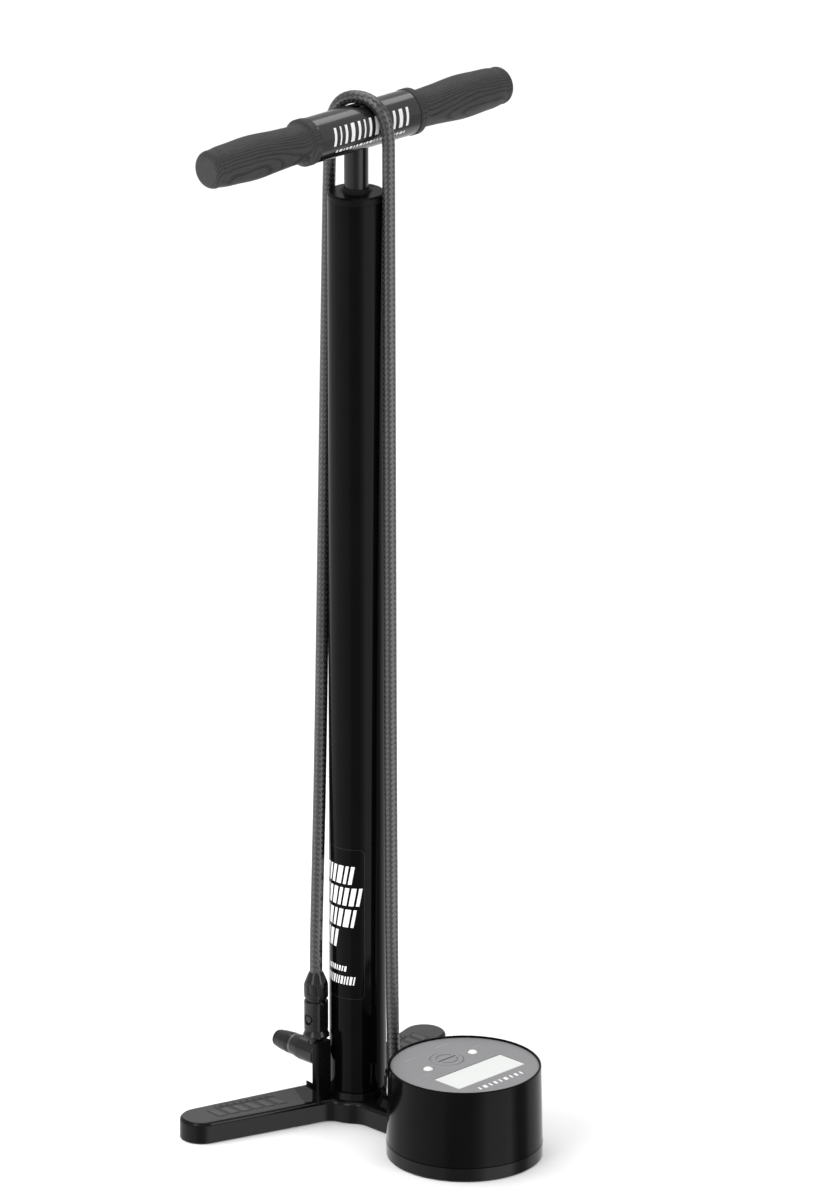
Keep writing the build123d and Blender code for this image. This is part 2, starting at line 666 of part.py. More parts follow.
def bleed_block():
    body = rod_z(CHUCK_R, BLOCK_BOTTOM, BLOCK_TOP, CHUCK)
    body = fillet(body.edges().filter_by(GeomType.CIRCLE), 0.5)
    body += rod_z(6.1, BLOCK_TOP - 1, NUT_BOTTOM, CHUCK)
    body += rod_z(4.6, NECK_TOP + 0.1, BLOCK_BOTTOM + 1, CHUCK)
    body -= rod_z(1.5, NECK_TOP - 1, NUT_BOTTOM + 1, CHUCK)
    button_x = CHUCK[0] - CHUCK_R
    body -= rod_x(2.75, button_x - 1, CHUCK[0] - 2.4, CHUCK[1], BLEED_Z)
    return body - rod_x(3.6, button_x - 1, button_x + 1.6, CHUCK[1], BLEED_Z)


BLEED_Z = 67.0


def bleed_button():
    outer = CHUCK[0] - CHUCK_R + 0.5
    button = rod_x(2.55, outer, CHUCK[0] - 4.4, CHUCK[1], BLEED_Z)
    tip = button.edges().filter_by(GeomType.CIRCLE).group_by(Axis.X)[0]
    return fillet(tip, 0.6)


def bleed_button_spring():
    spring = coil(1.2, 0.2, 0, 1.5, 3)
    return Pos(CHUCK[0] - 4.15, CHUCK[1], BLEED_Z) * Rot(0, 90, 0) * spring


def hose_nut():
    """Tapered clamping nut with flutes, which holds the hose on the bleed block."""
    outline = [(1.6, NUT_BOTTOM), (CHUCK_R - 0.3, NUT_BOTTOM), (CHUCK_R, NUT_BOTTOM + 0.4),
               (CHUCK_R, NUT_BOTTOM + 8.2), (CHUCK_R - 0.5, NUT_BOTTOM + 10.2),
               (4.9, NUT_TOP - 0.6), (4.5, NUT_TOP), (1.6, NUT_TOP)]
    nut = Pos(CHUCK[0], CHUCK[1], 0) * lathe(outline)
    for angle in range(0, 360, 45):
        spot = polar(CHUCK_R + 2.0, angle + 10, CHUCK)
        nut -= rod_z(2.6, NUT_BOTTOM + 3.0, NUT_TOP + 5, spot)
    return nut


# ---- Hose ----
# The hose leaves its fitting, runs straight up to the handle, goes over the tube
# and runs down behind it to the chuck's nut.

SADDLE_TOP = HANDLE_Z + SADDLE_R
RISER_ROUTE = [
    (PORT[0], PORT[1], HOSE_START),
    (1.2, -31.0, 80.0),
    (6.7, -21.5, 612.0),
    (8.9, -SADDLE_R, SADDLE_TOP),
    (-2.3, SADDLE_R, SADDLE_TOP),
    (-1.8, 22.4, 604.0),
    (-6.8, 21.5, 430.0),
    (-12.8, 18.5, 300.0),
    (-15.0, 17.6, 250.0),
]
DROP_ROUTE = [
    (-15.0, 17.6, 250.0),
    (-16.408, 17.024, 218.0),
    (-21.2, 14.6, 150.0),
    (-23.5, 13.6, 114.0),
    (CHUCK[0], CHUCK[1], NUT_TOP),
]


def hose(name, route):
    """A hose stretch: straight runs joined by arcs as large as the runs allow."""
    points = [Vector(*point) for point in route]
    radii = []
    for before, corner, after in zip(points, points[1:], points[2:]):
        turn = radians((corner - before).get_angle(after - corner))
        shorter = min((corner - before).length, (after - corner).length)
        radii.append(0.45 * shorter / tan(turn / 2))
    radii = [SADDLE_R if radius < 2 * SADDLE_R else radius for radius in radii]
    path = FilletPolyline(*points, radius=radii)
    section = Plane(origin=path @ 0, z_dir=path % 0) * Circle(HOSE_R)
    tube = sweep(section, path=path)
    print(name, "length", round(path.length, 1), "radii", [round(radius) for radius in radii],
          "volume ratio", round(tube.volume / (path.length * pi * HOSE_R ** 2), 4))
    return tube


NODES = {
    "base_casting": base_casting,
    "leg_foot_pads": leg_foot_pads,
    "front_foot_pads": front_foot_pads,
    "hub_foot_pad": hub_foot_pad,
    "gallery_plug": gallery_plug,
    "chuck_dock": chuck_dock,
    "check_valve_body": check_valve_body,
    "check_valve_poppet": check_valve_poppet,
    "check_valve_spring": check_valve_spring,
    "barrel_tube": barrel_tube,
    "barrel_base_seal": barrel_base_seal,
    "barrel_cap": barrel_cap,
    "rod_guide_bushing": rod_guide_bushing,
    "rod_wiper_seal": rod_wiper_seal,
    "piston": piston,
    "piston_seal": piston_seal,
    "piston_wear_ring": piston_wear_ring,
    "piston_washer": piston_washer,
    "piston_bolt": piston_bolt,
    "rod_lower_plug": rod_lower_plug,
    "piston_rod": piston_rod,
    "top_out_bumper": top_out_bumper,
    "rod_upper_plug": rod_upper_plug,
    "handle_tube": handle_tube,
    "handle_hub": handle_hub,
    "left_grip": lambda: grip(-1),
    "right_grip": lambda: grip(1),
    "grip_studs": grip_studs,
    "handle_bolt": handle_bolt,
    "hose_fitting": hose_fitting,
    "hose_ferrule": hose_ferrule,
    "gauge_housing": gauge_housing,
    "gauge_gasket": gauge_gasket,
    "gauge_screws": gauge_screws,
    "gauge_face": gauge_face,
    "lcd_glass": lcd_glass,
    "lcd_module": lcd_module,
    "circuit_board": circuit_board,
    "tact_switches": tact_switches,
    "unit_button": lambda: dome_button(-1),
    "mode_button": lambda: dome_button(1),
    "power_button": power_button,
    "pressure_sensor": pressure_sensor,
    "battery_holder": battery_holder,
    "batteries": batteries,
    "battery_door": battery_door,
    "battery_door_screws": battery_door_screws,
    "chuck_head": chuck_head,
    "chuck_seam_ring": chuck_seam_ring,
    "chuck_seal": chuck_seal,
    "chuck_pin": chuck_pin,
    "chuck_lock_sleeve": chuck_lock_sleeve,
    "chuck_rim": chuck_rim,
    "swivel_ring": swivel_ring,
    "bleed_block": bleed_block,
    "bleed_button": bleed_button,
    "bleed_button_spring": bleed_button_spring,
    "hose_nut": hose_nut,
    "hose_riser": lambda: hose("hose_riser", RISER_ROUTE),
    "hose_drop": lambda: hose("hose_drop", DROP_ROUTE),
}


os.makedirs("parts", exist_ok=True)
for node, build in NODES.items():
    made = build()
    solids = made if isinstance(made, list) else [made]
    shape = Compound(children=[piece for solid in solids for piece in solid.solids()])
    shape.label = node
    export_step(shape, f"parts/{node}.step")
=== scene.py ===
import bpy
import bmesh
from math import cos, pi, radians, sin
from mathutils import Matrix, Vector


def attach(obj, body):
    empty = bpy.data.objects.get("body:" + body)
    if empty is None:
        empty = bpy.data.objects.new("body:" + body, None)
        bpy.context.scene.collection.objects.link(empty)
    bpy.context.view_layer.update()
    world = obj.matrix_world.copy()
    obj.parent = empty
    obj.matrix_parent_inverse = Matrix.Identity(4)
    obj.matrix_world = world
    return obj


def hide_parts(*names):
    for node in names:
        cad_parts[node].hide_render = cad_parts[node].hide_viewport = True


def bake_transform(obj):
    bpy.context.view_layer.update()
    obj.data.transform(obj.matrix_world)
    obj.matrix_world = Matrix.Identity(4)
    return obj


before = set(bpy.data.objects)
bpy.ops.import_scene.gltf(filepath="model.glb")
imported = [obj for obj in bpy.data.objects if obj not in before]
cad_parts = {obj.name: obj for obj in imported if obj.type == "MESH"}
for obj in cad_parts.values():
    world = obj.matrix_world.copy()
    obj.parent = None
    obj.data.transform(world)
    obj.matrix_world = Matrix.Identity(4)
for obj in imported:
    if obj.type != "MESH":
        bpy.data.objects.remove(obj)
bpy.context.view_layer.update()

SCENE = bpy.context.scene

# ---------------------------------------------------------------- dimensions, in metres
MM = 0.001
HANDLE_Z = 0.652        # centre of the handle tube
HANDLE_R = 0.0143
BARREL_R = 0.018
GAUGE = Vector((0.0, -0.0952, 0.0))
GAUGE_TOP = 0.0584      # the gauge's printed face
POWER_UP = 0.0158       # the power button's centre, from the gauge's centre towards +Y
POWER_PROUD = 0.00025   # how far the power button stands over the face
GRIP_HEART = (0.030, 0.6660)  # Y and Z of the line the grips' growth rings run round
HOSE_D = 0.008
HOSE_SIDES = 32
HOSE_STEP = 0.003       # length of one ring of faces along the hose
PRINT_LIFT = 0.00004    # how far printed marks stand off their surface
PRINT_STEP = 0.0007     # longest side of a face in a printed mark
PRINT_SPLITS = 60       # most faces along one side of a printed mark

# ---------------------------------------------------------------- camera
camera = bpy.data.cameras.new("camera")
camera.sensor_fit = "VERTICAL"
camera.sensor_height = 24.0
camera.lens = 204.76
camera.clip_end = 60
camera_obj = bpy.data.objects.new("camera", camera)
camera_obj.location = (-4.2159, -4.2692, 2.5018)
camera_obj.rotation_euler = (radians(70.22), 0, radians(-44.94))
SCENE.collection.objects.link(camera_obj)
SCENE.camera = camera_obj


# ---------------------------------------------------------------- helpers
def link(obj):
    SCENE.collection.objects.link(obj)
    return obj


def mesh_object(name, verts, faces, smooth=True):
    mesh = bpy.data.meshes.new(name)
    mesh.from_pydata([tuple(v) for v in verts], [], faces)
    mesh.polygons.foreach_set("use_smooth", [smooth] * len(mesh.polygons))
    mesh.update()
    return link(bpy.data.objects.new(name, mesh))


# ---------------------------------------------------------------- hose
RISER = [(0.0012, -0.031, 0.037), (0.0002, -0.0300, 0.080), (0.0067, -0.0215, 0.612),
         (0.0089, -0.0190, 0.6705), (-0.0025, 0.0194, 0.6705), (-0.0019, 0.0219, 0.614),
         (-0.0018, 0.0224, 0.604), (-0.0068, 0.0215, 0.430), (-0.0128, 0.0185, 0.300),
         (-0.0150, 0.0176, 0.250)]
DROP = [(-0.0150, 0.0176, 0.250), (-0.016408, 0.017024, 0.218), (-0.0212, 0.0146, 0.150),
        (-0.0235, 0.0136, 0.114), (-0.0235, 0.0136, 0.0975)]


def spline_points(name, route):
    """Points along the smooth line of a route."""
    curve = bpy.data.curves.new(name, "CURVE")
    curve.dimensions = "3D"
    spline = curve.splines.new("NURBS")
    spline.points.add(len(route) - 1)
    for point, place in zip(spline.points, route):
        point.co = (*place, 1.0)
    spline.order_u = 3
    spline.use_endpoint_u = True
    spline.resolution_u = 60
    obj = bpy.data.objects.new(name, curve)
    line = bpy.data.meshes.new_from_object(obj)
    points = [vertex.co.copy() for vertex in line.vertices]
    bpy.data.objects.remove(obj)
    bpy.data.meshes.remove(line)
    return points


def even_points(points, step):
    """The same line with points an even distance apart."""
    length = sum((b - a).length for a, b in zip(points, points[1:]))
    count = max(2, round(length / step))
    even = [points[0].copy()]
    travelled = 0.0
    target = length / count
    for a, b in zip(points, points[1:]):
        run = (b - a).length
        while run > 0 and travelled + run >= target - 1e-9 and len(even) < count:
            even.append(a.lerp(b, (target - travelled) / run))
            target += length / count
        travelled += run
    even.append(points[-1].copy())
    return even


def hose_tube(name, line, first_side, along_start):
    """A round tube with UVs: U goes once round it and V is the distance along it in metres.

    The side and distance it ends with start the next stretch, so that the braid runs on."""
    radius, around = HOSE_D / 2, HOSE_SIDES
    verts, faces, uvs = [], [], []
    side = first_side.copy()
    along = along_start
    for index, place in enumerate(line):
        before = line[max(0, index - 1)]
        after = line[min(len(line) - 1, index + 1)]
        tangent = (after - before).normalized()
        side = (side - tangent * side.dot(tangent)).normalized()
        other = tangent.cross(side)
        for step in range(around):
            turn = 2 * pi * step / around
            verts.append(place + (side * cos(turn) + other * sin(turn)) * radius)
    for ring in range(len(line) - 1):
        run = (line[ring + 1] - line[ring]).length
        for step in range(around):
            following = (step + 1) % around
            low, high = ring * around, (ring + 1) * around
            faces.append((low + step, low + following, high + following, high + step))
            left, right = step / around, (step + 1) / around
            uvs += [(left, along), (right, along), (right, along + run), (left, along + run)]
        along += run
    for ring, order in ((0, -1), (len(line) - 1, 1)):
        faces.append([ring * around + step for step in range(around)][::order])
        uvs += [(0.0, along_start)] * around
    obj = mesh_object(name, verts, faces)
    obj.data.set_sharp_from_angle(angle=radians(60))    # keeps the flat ends out of the side's shading
    layer = obj.data.uv_layers.new(name="UVMap")
    for loop, uv in zip(layer.data, uvs):
        loop.uv = uv
    return obj, side, along


riser_line = even_points(spline_points("riser_route", RISER), HOSE_STEP)
drop_line = even_points(spline_points("drop_route", DROP), HOSE_STEP)
riser, last_side, last_along = hose_tube("hose_riser_braid", riser_line, Vector((1, 0, 0)), 0.0)
drop, last_side, last_along = hose_tube("hose_drop_braid", drop_line, last_side, last_along)
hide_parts("hose_riser")
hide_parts("hose_drop")
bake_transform(riser)
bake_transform(drop)


# ---------------------------------------------------------------- material nodes
def new_material(name):
    material = bpy.data.materials.new(name)
    material.use_nodes = True
    tree = material.node_tree
    return material, tree, tree.nodes["Principled BSDF"]


def feed(tree, socket, value):
    """Link a socket to an output, or set its value."""
    if isinstance(value, bpy.types.NodeSocket):
        tree.links.new(value, socket)
    else:
        socket.default_value = value


def math(tree, operation, a, b=0.0, c=0.0):
    node = tree.nodes.new("ShaderNodeMath")
    node.operation = operation
    for socket, value in zip(node.inputs, (a, b, c)):
        feed(tree, socket, value)
    return node.outputs[0]


def spread(tree, value, low, high, to_low, to_high, smooth=False):
    """Map a value from one range to another."""
    node = tree.nodes.new("ShaderNodeMapRange")
    node.interpolation_type = "SMOOTHSTEP" if smooth else "LINEAR"
    for key, number in (("Value", value), ("From Min", low), ("From Max", high),
                        ("To Min", to_low), ("To Max", to_high)):
        feed(tree, node.inputs[key], number)
    return node.outputs["Result"]


def place(tree):
    """Position in the part's frame, as X, Y and Z, and as a vector."""
    coordinates = tree.nodes.new("ShaderNodeTexCoord").outputs["Object"]
    split = tree.nodes.new("ShaderNodeSeparateXYZ")
    tree.links.new(coordinates, split.inputs[0])
    return coordinates, split.outputs[0], split.outputs[1], split.outputs[2]


def stretched(tree, vector, scale):
    node = tree.nodes.new("ShaderNodeVectorMath")
    node.operation = "MULTIPLY"
    tree.links.new(vector, node.inputs[0])
    node.inputs[1].default_value = scale
    return node.outputs[0]


def noise(tree, vector, scale, detail=3.0, rough=0.55):
    node = tree.nodes.new("ShaderNodeTexNoise")
    feed(tree, node.inputs["Vector"], vector)
    node.inputs["Scale"].default_value = scale
    node.inputs["Detail"].default_value = detail
    node.inputs["Roughness"].default_value = rough
    return node.outputs["Fac"]


def blend_colour(tree, factor, low, high):
    node = tree.nodes.new("ShaderNodeMix")
    node.data_type = "RGBA"
    feed(tree, node.inputs["Factor"], factor)
    feed(tree, node.inputs["A"], (*low, 1.0) if isinstance(low, tuple) else low)
    feed(tree, node.inputs["B"], (*high, 1.0) if isinstance(high, tuple) else high)
    return node.outputs["Result"]


def raised(tree, bsdf, height, distance, strength=1.0):
    node = tree.nodes.new("ShaderNodeBump")
    node.inputs["Strength"].default_value = strength
    node.inputs["Distance"].default_value = distance
    tree.links.new(height, node.inputs["Height"])
    tree.links.new(node.outputs[0], bsdf.inputs["Normal"])


def grey(level):
    return (level, level, level * 1.03)


def plain_finish(name, dark, light, rough, metallic=0.0, spec=0.5, grain=900.0, depth=0.00002,
                 stretch=(1, 1, 1)):
    """A finish with uneven tone, uneven gloss and a fine surface grain."""
    material, tree, bsdf = new_material(name)
    where, _, _, _ = place(tree)
    where = stretched(tree, where, stretch)
    patches = noise(tree, where, 40.0, 4.0)
    fine = noise(tree, where, grain, 2.0)
    tone = spread(tree, patches, 0.3, 0.7, 0.0, 1.0)
    bsdf.inputs["Metallic"].default_value = metallic
    bsdf.inputs["Specular IOR Level"].default_value = spec
    feed(tree, bsdf.inputs["Base Color"], blend_colour(tree, tone, dark, light))
    feed(tree, bsdf.inputs["Roughness"], spread(tree, patches, 0.25, 0.75, rough[0], rough[1]))
    raised(tree, bsdf, fine, depth)
    return material


# ---------------------------------------------------------------- materials
barrel_black = plain_finish("barrel_black", grey(0.0012), grey(0.0020), (0.08, 0.13), spec=0.09,
                            grain=700, depth=0.000004)
rod_black = plain_finish("rod_black", grey(0.004), grey(0.007), (0.12, 0.18), spec=0.35, grain=900,
                         depth=0.000003, stretch=(1, 1, 0.04))
tube_black = plain_finish("tube_black", grey(0.006), grey(0.010), (0.13, 0.19), spec=1.0, grain=700,
                          depth=0.000004)
housing_black = plain_finish("housing_black", grey(0.0014), grey(0.0024), (0.10, 0.15), spec=0.095,
                             grain=800, depth=0.000004)
anodised_black = plain_finish("anodised_black", grey(0.003), grey(0.005), (0.22, 0.32), spec=0.08,
                              grain=1400, depth=0.000012)
chuck_black = plain_finish("chuck_black", grey(0.004), grey(0.007), (0.16, 0.26), spec=0.42, grain=1600,
                           depth=0.00001)
rubber_black = plain_finish("rubber_black", grey(0.007), grey(0.012), (0.6, 0.75), spec=0.18, grain=1800,
                            depth=0.00004)
acetal_black = plain_finish("acetal_black", grey(0.012), grey(0.018), (0.4, 0.5), spec=0.4, grain=1200,
                            depth=0.00002)
nickel = plain_finish("bright_nickel", (0.72, 0.72, 0.72), (0.82, 0.82, 0.81), (0.12, 0.2), metallic=1.0,
                      grain=900, depth=0.000004)
steel = plain_finish("turned_steel", (0.5, 0.5, 0.5), (0.6, 0.6, 0.6), (0.25, 0.36), metallic=1.0,
                     grain=1500, depth=0.00001, stretch=(1, 1, 0.1))
aluminium = plain_finish("turned_aluminium", (0.62, 0.62, 0.63), (0.72, 0.72, 0.73), (0.28, 0.38),
                         metallic=1.0, grain=1500, depth=0.00001)
brass = plain_finish("brass_finish", (0.62, 0.45, 0.2), (0.74, 0.56, 0.28), (0.25, 0.38), metallic=1.0,
                     grain=1200, depth=0.00001)
board_green = plain_finish("board_green", (0.015, 0.09, 0.035), (0.02, 0.13, 0.05), (0.3, 0.42),
                           grain=600)
cell_blue = plain_finish("cell_wrap", (0.03, 0.08, 0.22), (0.04, 0.1, 0.28), (0.25, 0.35), grain=500)
face_grey = plain_finish("face_grey", grey(0.215), grey(0.228), (0.3, 0.36), spec=0.3, grain=2200,
                         depth=0.000004)
button_white = plain_finish("button_white", (0.78, 0.78, 0.77), (0.84, 0.84, 0.83), (0.12, 0.2),
                            grain=900, depth=0.000003)
PANEL_DARK, PANEL_LIGHT = (0.67, 0.68, 0.67), (0.70, 0.71, 0.70)
panel_pale = plain_finish("panel_pale", PANEL_DARK, PANEL_LIGHT, (0.4, 0.5), grain=900)
print_white = plain_finish("print_white", (0.80, 0.80, 0.80), (0.88, 0.88, 0.88), (0.35, 0.45),
                           grain=1800, depth=0.000006)
print_grey = plain_finish("print_grey", grey(0.010), grey(0.014), (0.2, 0.3), spec=0.2, grain=1800,
                          depth=0.000004)
mark_dark = plain_finish("mark_dark", grey(0.008), grey(0.012), (0.35, 0.45), spec=0.2, grain=1800,
                         depth=0.000004)
note_grey = plain_finish("note_grey", grey(0.30), grey(0.34), (0.35, 0.45), spec=0.3, grain=1800,
                         depth=0.000004)
satin_grey = plain_finish("satin_grey", grey(0.062), grey(0.080), (0.5, 0.62), spec=0.18, grain=1500,
                          depth=0.00003)
seam_metal = plain_finish("seam_metal", grey(0.12), grey(0.2), (0.25, 0.35), metallic=1.0, grain=1500,
                          depth=0.00001)


def cast_finish():
    """Glossy black casting whose flat leg tops are bead blasted to a satin grey past a slanted line."""
    material, tree, bsdf = new_material("cast_black")
    where, x, y, z = place(tree)
    patches = noise(tree, where, 45.0, 4.0)
    fine = noise(tree, where, 1500.0, 2.0)
    slanted_reach = math(tree, "MULTIPLY_ADD", y, 0.55, math(tree, "ABSOLUTE", x))
    out_on_leg = spread(tree, slanted_reach, 0.0435, 0.0441, 0.0, 1.0)
    over_rounding = spread(tree, z, 0.0141, 0.0143, 0.0, 1.0)
    under_hub = spread(tree, z, 0.0146, 0.0149, 1.0, 0.0)
    satin = math(tree, "MULTIPLY", math(tree, "MULTIPLY", out_on_leg, over_rounding), under_hub)
    gloss_tone = blend_colour(tree, patches, grey(0.0025), grey(0.004))
    satin_tone = blend_colour(tree, patches, grey(0.058), grey(0.074))
    feed(tree, bsdf.inputs["Base Color"], blend_colour(tree, satin, gloss_tone, satin_tone))
    gloss = spread(tree, patches, 0.25, 0.75, 0.12, 0.2)
    blasted = spread(tree, fine, 0.3, 0.7, 0.5, 0.62)
    mixed = math(tree, "MULTIPLY_ADD", math(tree, "SUBTRACT", blasted, gloss), satin, gloss)
    feed(tree, bsdf.inputs["Roughness"], mixed)
    feed(tree, bsdf.inputs["Specular IOR Level"], spread(tree, satin, 0.0, 1.0, 0.18, 0.10))
    bumps = math(tree, "MULTIPLY", fine, spread(tree, satin, 0.0, 1.0, 0.15, 1.0))
    raised(tree, bsdf, bumps, 0.00003)
    return material


def wood_finish():
    """Charcoal-stained ash: growth rings cut through by the turning, fine pores along X."""
    material, tree, bsdf = new_material("grip_wood")
    where, x, y, z = place(tree)
    bend = noise(tree, stretched(tree, where, (9.0, 40.0, 40.0)), 1.0, 2.0)
    drift = math(tree, "MULTIPLY", bend, 0.0045)
    across = math(tree, "SUBTRACT", y, GRIP_HEART[0])
    lift = math(tree, "SUBTRACT", z, GRIP_HEART[1])
    reach = math(tree, "SQRT", math(tree, "ADD", math(tree, "MULTIPLY", across, across),
                                    math(tree, "MULTIPLY", lift, lift)))
    slant = math(tree, "MULTIPLY_ADD", math(tree, "ABSOLUTE", x), 0.03, reach)
    layers = math(tree, "MULTIPLY", math(tree, "ADD", slant, drift), 760.0)
    ring = math(tree, "FRACT", layers)
    late = spread(tree, ring, 0.50, 0.93, 0.0, 1.0, True)
    fall = spread(tree, ring, 0.93, 1.0, 1.0, 0.0)
    dark_ring = math(tree, "MINIMUM", late, fall)
    pores = noise(tree, stretched(tree, where, (90.0, 1900.0, 1900.0)), 1.0, 2.0)
    fleck = spread(tree, pores, 0.52, 0.66, 0.0, 1.0)
    shade = math(tree, "MULTIPLY_ADD", fleck, 0.35, math(tree, "MULTIPLY", dark_ring, 0.75))
    feed(tree, bsdf.inputs["Base Color"], blend_colour(tree, shade, grey(0.043), grey(0.011)))
    feed(tree, bsdf.inputs["Roughness"], spread(tree, pores, 0.3, 0.7, 0.42, 0.6))
    bsdf.inputs["Specular IOR Level"].default_value = 0.2
    height = math(tree, "SUBTRACT", 1.0, shade)
    raised(tree, bsdf, height, 0.00008, 0.8)
    return material


def braid_finish():
    """Braided sleeve: strands wound both ways that pass over one and under one."""
    material, tree, bsdf = new_material("hose_braid")
    layout = tree.nodes.new("ShaderNodeUVMap")
    layout.uv_map = "UVMap"
    split = tree.nodes.new("ShaderNodeSeparateXYZ")
    tree.links.new(layout.outputs[0], split.inputs[0])
    strands_round, strand_pitch = 10.0, 0.0034
    round_it = math(tree, "MULTIPLY", split.outputs[0], strands_round)
    along_it = math(tree, "MULTIPLY", split.outputs[1], 1 / strand_pitch)
    right = math(tree, "ADD", round_it, along_it)
    left = math(tree, "SUBTRACT", round_it, along_it)
    crest_right = math(tree, "ABSOLUTE", math(tree, "SINE", math(tree, "MULTIPLY", right, pi)))
    crest_left = math(tree, "ABSOLUTE", math(tree, "SINE", math(tree, "MULTIPLY", left, pi)))
    turn = math(tree, "ADD", math(tree, "FLOOR", right), math(tree, "FLOOR", left))
    over = math(tree, "MODULO", math(tree, "ABSOLUTE", turn), 2.0)
    under = math(tree, "SUBTRACT", 1.0, over)
    top_right = math(tree, "MULTIPLY", crest_right, over)
    top_left = math(tree, "MULTIPLY", crest_left, under)
    height = math(tree, "ADD", top_right, top_left)
    where, _, _, _ = place(tree)
    fuzz = noise(tree, where, 3200.0, 2.0)
    worn = noise(tree, where, 60.0, 3.0)
    # Colour: the strands wound one way are darker than those wound the other way, with random fuzz and
    # wear. Each strand's colour also falls to near black towards its edges, which is painted shade in the
    # gaps between the strands.
    light = math(tree, "MULTIPLY", math(tree, "MULTIPLY_ADD", top_right, 0.30, top_left),
                 spread(tree, fuzz, 0.3, 0.7, 0.75, 1.1))
    light = math(tree, "MULTIPLY", light, spread(tree, worn, 0.3, 0.7, 0.9, 1.08))
    feed(tree, bsdf.inputs["Base Color"], blend_colour(tree, light, grey(0.002), grey(0.055)))
    feed(tree, bsdf.inputs["Roughness"], spread(tree, fuzz, 0.3, 0.7, 0.20, 0.32))
    bsdf.inputs["Specular IOR Level"].default_value = 1.0
    raised(tree, bsdf, height, 0.00009)
    return material


def window_finish():
    """Glossy window in front of the blank display, as pale as the panel behind it."""
    material, tree, bsdf = new_material("window_clear")
    where, _, _, _ = place(tree)
    smear = noise(tree, where, 60.0, 3.0)
    feed(tree, bsdf.inputs["Roughness"], spread(tree, smear, 0.3, 0.7, 0.05, 0.1))
    feed(tree, bsdf.inputs["Base Color"], blend_colour(tree, smear, PANEL_DARK, PANEL_LIGHT))
    bsdf.inputs["Specular IOR Level"].default_value = 0.4
    return material


cast_black = cast_finish()
grip_wood = wood_finish()
hose_braid = braid_finish()
window_clear = window_finish()

FINISHES = [
    (cast_black, "base_casting"),
    (barrel_black, "barrel_tube"),
    (anodised_black, "barrel_cap hose_ferrule chuck_dock handle_bolt"),
    (rod_black, "piston_rod"),
    (tube_black, "handle_tube"),
    (grip_wood, "left_grip right_grip"),
    (chuck_black, "chuck_head chuck_lock_sleeve swivel_ring bleed_block bleed_button hose_nut"),
    (seam_metal, "chuck_seam_ring"),
    (rubber_black, "leg_foot_pads front_foot_pads hub_foot_pad rod_wiper_seal barrel_base_seal "
                   "top_out_bumper piston_seal gauge_gasket chuck_seal chuck_rim"),
    (acetal_black, "rod_guide_bushing piston_wear_ring tact_switches battery_holder battery_door"),
    (nickel, "hose_fitting"),
    (steel, "check_valve_spring piston_washer piston_bolt rod_lower_plug rod_upper_plug grip_studs "
            "gauge_screws pressure_sensor battery_door_screws bleed_button_spring"),
    (brass, "check_valve_body check_valve_poppet gallery_plug chuck_pin"),
    (aluminium, "piston handle_hub"),
    (housing_black, "gauge_housing"),
    (face_grey, "gauge_face power_button"),
    (window_clear, "lcd_glass"),
    (panel_pale, "lcd_module"),
    (board_green, "circuit_board"),
    (button_white, "unit_button mode_button"),
    (cell_blue, "batteries"),
]
for finish, nodes in FINISHES:
    for node in nodes.split():
        for material_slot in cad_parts[node].material_slots:
            material_slot.material = finish
for piece in (riser, drop):
    piece.data.materials.append(hose_braid)


# ---------------------------------------------------------------- printed marks
def wrapped(corners, to_place):
    """A four-cornered patch laid on a surface: corners run low left, low right, high right, high left.

    It is split finely enough to follow a curved surface."""
    verts, faces = [], []
    low_left, low_right, high_right, high_left = (Vector(corner) for corner in corners)
    width = max((low_right - low_left).length, (high_right - high_left).length)
    height = max((high_left - low_left).length, (high_right - low_right).length)
    columns = min(max(1, round(width / PRINT_STEP)), PRINT_SPLITS)
    rows = min(max(1, round(height / PRINT_STEP)), PRINT_SPLITS)
    for column in range(columns + 1):
        low = low_left.lerp(low_right, column / columns)
        high = high_left.lerp(high_right, column / columns)
        for row in range(rows + 1):
            spot = low.lerp(high, row / rows)
            verts.append(to_place(spot.x, spot.y))
    for column in range(columns):
        for row in range(rows):
            a = column * (rows + 1) + row
            faces.append((a, a + rows + 1, a + rows + 2, a + 1))
    return verts, faces


def print_marks(name, patches, to_place, finish, body):
    """Several patches as one thin printed piece."""
    verts, faces = [], []
    for corners in patches:
        some_verts, some_faces = wrapped(corners, to_place)
        start = len(verts)
        verts += some_verts
        faces += [tuple(start + index for index in face) for face in some_faces]
    piece = mesh_object(name, verts, faces)
    piece.data.materials.append(finish)
    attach(piece, body)


def on_barrel(across, height):
    """across is the distance round the barrel, counted from the side that faces -X towards the gauge."""
    turn = pi + across / BARREL_R
    radius = BARREL_R + PRINT_LIFT
    return (radius * cos(turn), radius * sin(turn), height)


def on_tube(along, across):
    """across is the distance round the handle tube, counted upwards from its front."""
    turn = across / HANDLE_R
    radius = HANDLE_R + PRINT_LIFT
    return (along, -radius * cos(turn), HANDLE_Z + radius * sin(turn))


def bars(left, right, low, high, widths, gap):
    """Slanted bars of repeating widths between two ends. Every length is in millimetres."""
    lean = 0.18
    shift = (high - low) * lean
    made, start, index = [], left, 0
    while start + widths[index % len(widths)] < right:
        end = start + widths[index % len(widths)]
        corners = [(start, low), (end, low), (end + shift, high), (start + shift, high)]
        made.append([(across * MM, up * MM) for across, up in corners])
        start = end + gap
        index += 1
    return made


